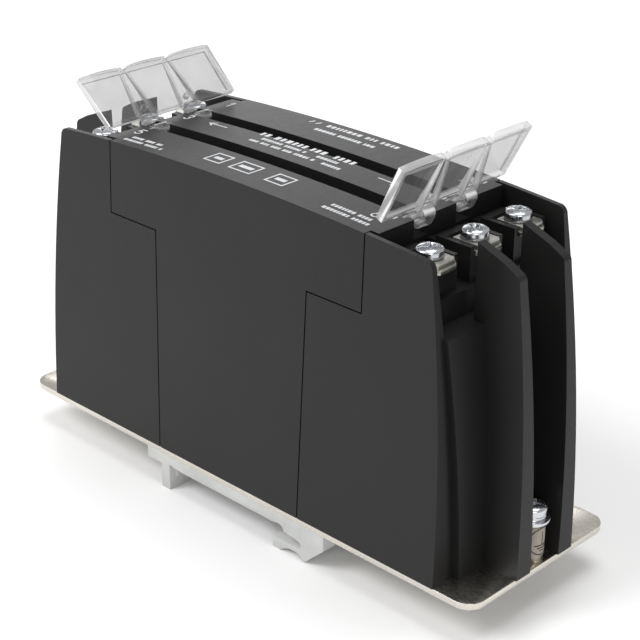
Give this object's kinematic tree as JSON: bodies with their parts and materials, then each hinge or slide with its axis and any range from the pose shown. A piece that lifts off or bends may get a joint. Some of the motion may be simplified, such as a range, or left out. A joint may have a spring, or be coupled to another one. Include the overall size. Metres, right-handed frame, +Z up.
{
  "type": "mains filter",
  "caption": "Book-style three-phase mains filter: black housing on a metal plate, screw terminals under clear hinged covers at both ends, clip foot for a 35 mm rail.",
  "frame": {"origin": "middle of the underside of the clip foot, the lowest face of the part", "axes": "+Z up away from the rail; +X from the line end to the load end; +Y across the housing, along the rail"},
  "size_m": [0.1366, 0.045, 0.092],
  "materials": {
    "plate": "satin sheet metal",
    "housing": "fine-grained moulded plastic",
    "clear_cover": "clear moulded plastic",
    "tinned_metal": "tin plated",
    "zinc": "bright zinc plated",
    "post": "nickel plated turned brass",
    "label": "printed film",
    "foot_plastic": "natural translucent plastic",
    "rivet": "plated",
    "insulation": "pressboard sheet",
    "board": "glass-epoxy laminate",
    "core": "coated ferrite",
    "divider": "moulded plastic",
    "copper": "enamelled copper wire",
    "film_box": "moulded case",
    "ceramic": "epoxy coated",
    "resistor": "lacquered body",
    "white_ink": "printed marks on the housing",
    "black_ink": "printed symbol on the earth label"
  },
  "bodies": {
    "root": {"base_plate": "plate", "centre_cover": "housing", "line_housing": "housing", "load_housing": "housing", "line_bars": "tinned_metal", "load_bars": "tinned_metal", "line_nuts": "zinc", "load_nuts": "zinc", "earth_post": "post", "earth_label": "label", "rail_foot": "foot_plastic", "foot_rivets": "rivet", "housing_screws": "rivet", "insulating_sheet": "insulation", "circuit_board": "board", "choke_core": "core", "choke_divider": "divider", "choke_winding_1": "copper", "choke_winding_2": "copper", "choke_winding_3": "copper", "line_capacitors": "film_box", "load_capacitors": "film_box", "earth_capacitors": "ceramic", "bleed_resistors": "resistor", "earth_strap": "tinned_metal", "earth_strap_rivet": "rivet"},
    "line_cover_body": {"line_cover": "clear_cover"},
    "load_cover_body": {"load_cover": "clear_cover"},
    "line_clamp_1_body": {"line_clamp_1": "tinned_metal"},
    "line_screw_1_body": {"line_screw_1": "zinc"},
    "line_clamp_2_body": {"line_clamp_2": "tinned_metal"},
    "line_screw_2_body": {"line_screw_2": "zinc"},
    "line_clamp_3_body": {"line_clamp_3": "tinned_metal"},
    "line_screw_3_body": {"line_screw_3": "zinc"},
    "load_clamp_1_body": {"load_clamp_1": "tinned_metal"},
    "load_screw_1_body": {"load_screw_1": "zinc"},
    "load_clamp_2_body": {"load_clamp_2": "tinned_metal"},
    "load_screw_2_body": {"load_screw_2": "zinc"},
    "load_clamp_3_body": {"load_clamp_3": "tinned_metal"},
    "load_screw_3_body": {"load_screw_3": "zinc"},
    "earth_washer_body": {"earth_washer": "zinc", "earth_lock_washer": "zinc"},
    "earth_screw_body": {"earth_screw": "zinc"}
  },
  "joints": [
    {"name": "line_cover_hinge", "type": "hinge", "parent": "root", "child": "line_cover_body", "pos_m": [-0.0366, 0, 0.0769], "axis": [0, 1, 0], "range_deg": [-42, 58]},
    {"name": "load_cover_hinge", "type": "hinge", "parent": "root", "child": "load_cover_body", "pos_m": [0.0366, 0, 0.0769], "axis": [0, -1, 0], "range_deg": [-63, 37]},
    {"name": "line_clamp_1_lift", "type": "slide", "parent": "root", "child": "line_clamp_1_body", "axis": [0, 0, 1], "range_m": [0, 0.002]},
    {"name": "line_screw_1_turn", "type": "hinge", "parent": "line_clamp_1_body", "child": "line_screw_1_body", "pos_m": [-0.0469, -0.01324, 0.07292], "axis": [0, 0, 1], "range_deg": [0, 1440]},
    {"name": "line_clamp_2_lift", "type": "slide", "parent": "root", "child": "line_clamp_2_body", "axis": [0, 0, 1], "range_m": [0, 0.002]},
    {"name": "line_screw_2_turn", "type": "hinge", "parent": "line_clamp_2_body", "child": "line_screw_2_body", "pos_m": [-0.0469, 0, 0.07292], "axis": [0, 0, 1], "range_deg": [0, 1440]},
    {"name": "line_clamp_3_lift", "type": "slide", "parent": "root", "child": "line_clamp_3_body", "axis": [0, 0, 1], "range_m": [0, 0.002]},
    {"name": "line_screw_3_turn", "type": "hinge", "parent": "line_clamp_3_body", "child": "line_screw_3_body", "pos_m": [-0.0469, 0.01324, 0.07292], "axis": [0, 0, 1], "range_deg": [0, 1440]},
    {"name": "load_clamp_1_lift", "type": "slide", "parent": "root", "child": "load_clamp_1_body", "axis": [0, 0, 1], "range_m": [0, 0.002]},
    {"name": "load_screw_1_turn", "type": "hinge", "parent": "load_clamp_1_body", "child": "load_screw_1_body", "pos_m": [0.0469, -0.01324, 0.07292], "axis": [0, 0, 1], "range_deg": [0, 1440]},
    {"name": "load_clamp_2_lift", "type": "slide", "parent": "root", "child": "load_clamp_2_body", "axis": [0, 0, 1], "range_m": [0, 0.002]},
    {"name": "load_screw_2_turn", "type": "hinge", "parent": "load_clamp_2_body", "child": "load_screw_2_body", "pos_m": [0.0469, 0, 0.07292], "axis": [0, 0, 1], "range_deg": [0, 1440]},
    {"name": "load_clamp_3_lift", "type": "slide", "parent": "root", "child": "load_clamp_3_body", "axis": [0, 0, 1], "range_m": [0, 0.002]},
    {"name": "load_screw_3_turn", "type": "hinge", "parent": "load_clamp_3_body", "child": "load_screw_3_body", "pos_m": [0.0469, 0.01324, 0.07292], "axis": [0, 0, 1], "range_deg": [0, 1440]},
    {"name": "earth_washer_lift", "type": "slide", "parent": "root", "child": "earth_washer_body", "axis": [0, 0, 1], "range_m": [0, 0.002]},
    {"name": "earth_screw_turn", "type": "hinge", "parent": "earth_washer_body", "child": "earth_screw_body", "pos_m": [0.0647, 0, 0.01902], "axis": [0, 0, 1], "range_deg": [0, 1440]}
  ],
  "couplings": [
    {"joint": "line_screw_1_turn", "follows": "line_clamp_1_lift", "rad_per_m": 12566},
    {"joint": "line_screw_2_turn", "follows": "line_clamp_2_lift", "rad_per_m": 12566},
    {"joint": "line_screw_3_turn", "follows": "line_clamp_3_lift", "rad_per_m": 12566},
    {"joint": "load_screw_1_turn", "follows": "load_clamp_1_lift", "rad_per_m": 12566},
    {"joint": "load_screw_2_turn", "follows": "load_clamp_2_lift", "rad_per_m": 12566},
    {"joint": "load_screw_3_turn", "follows": "load_clamp_3_lift", "rad_per_m": 12566},
    {"joint": "earth_screw_turn", "follows": "earth_washer_lift", "rad_per_m": 12566}
  ]
}
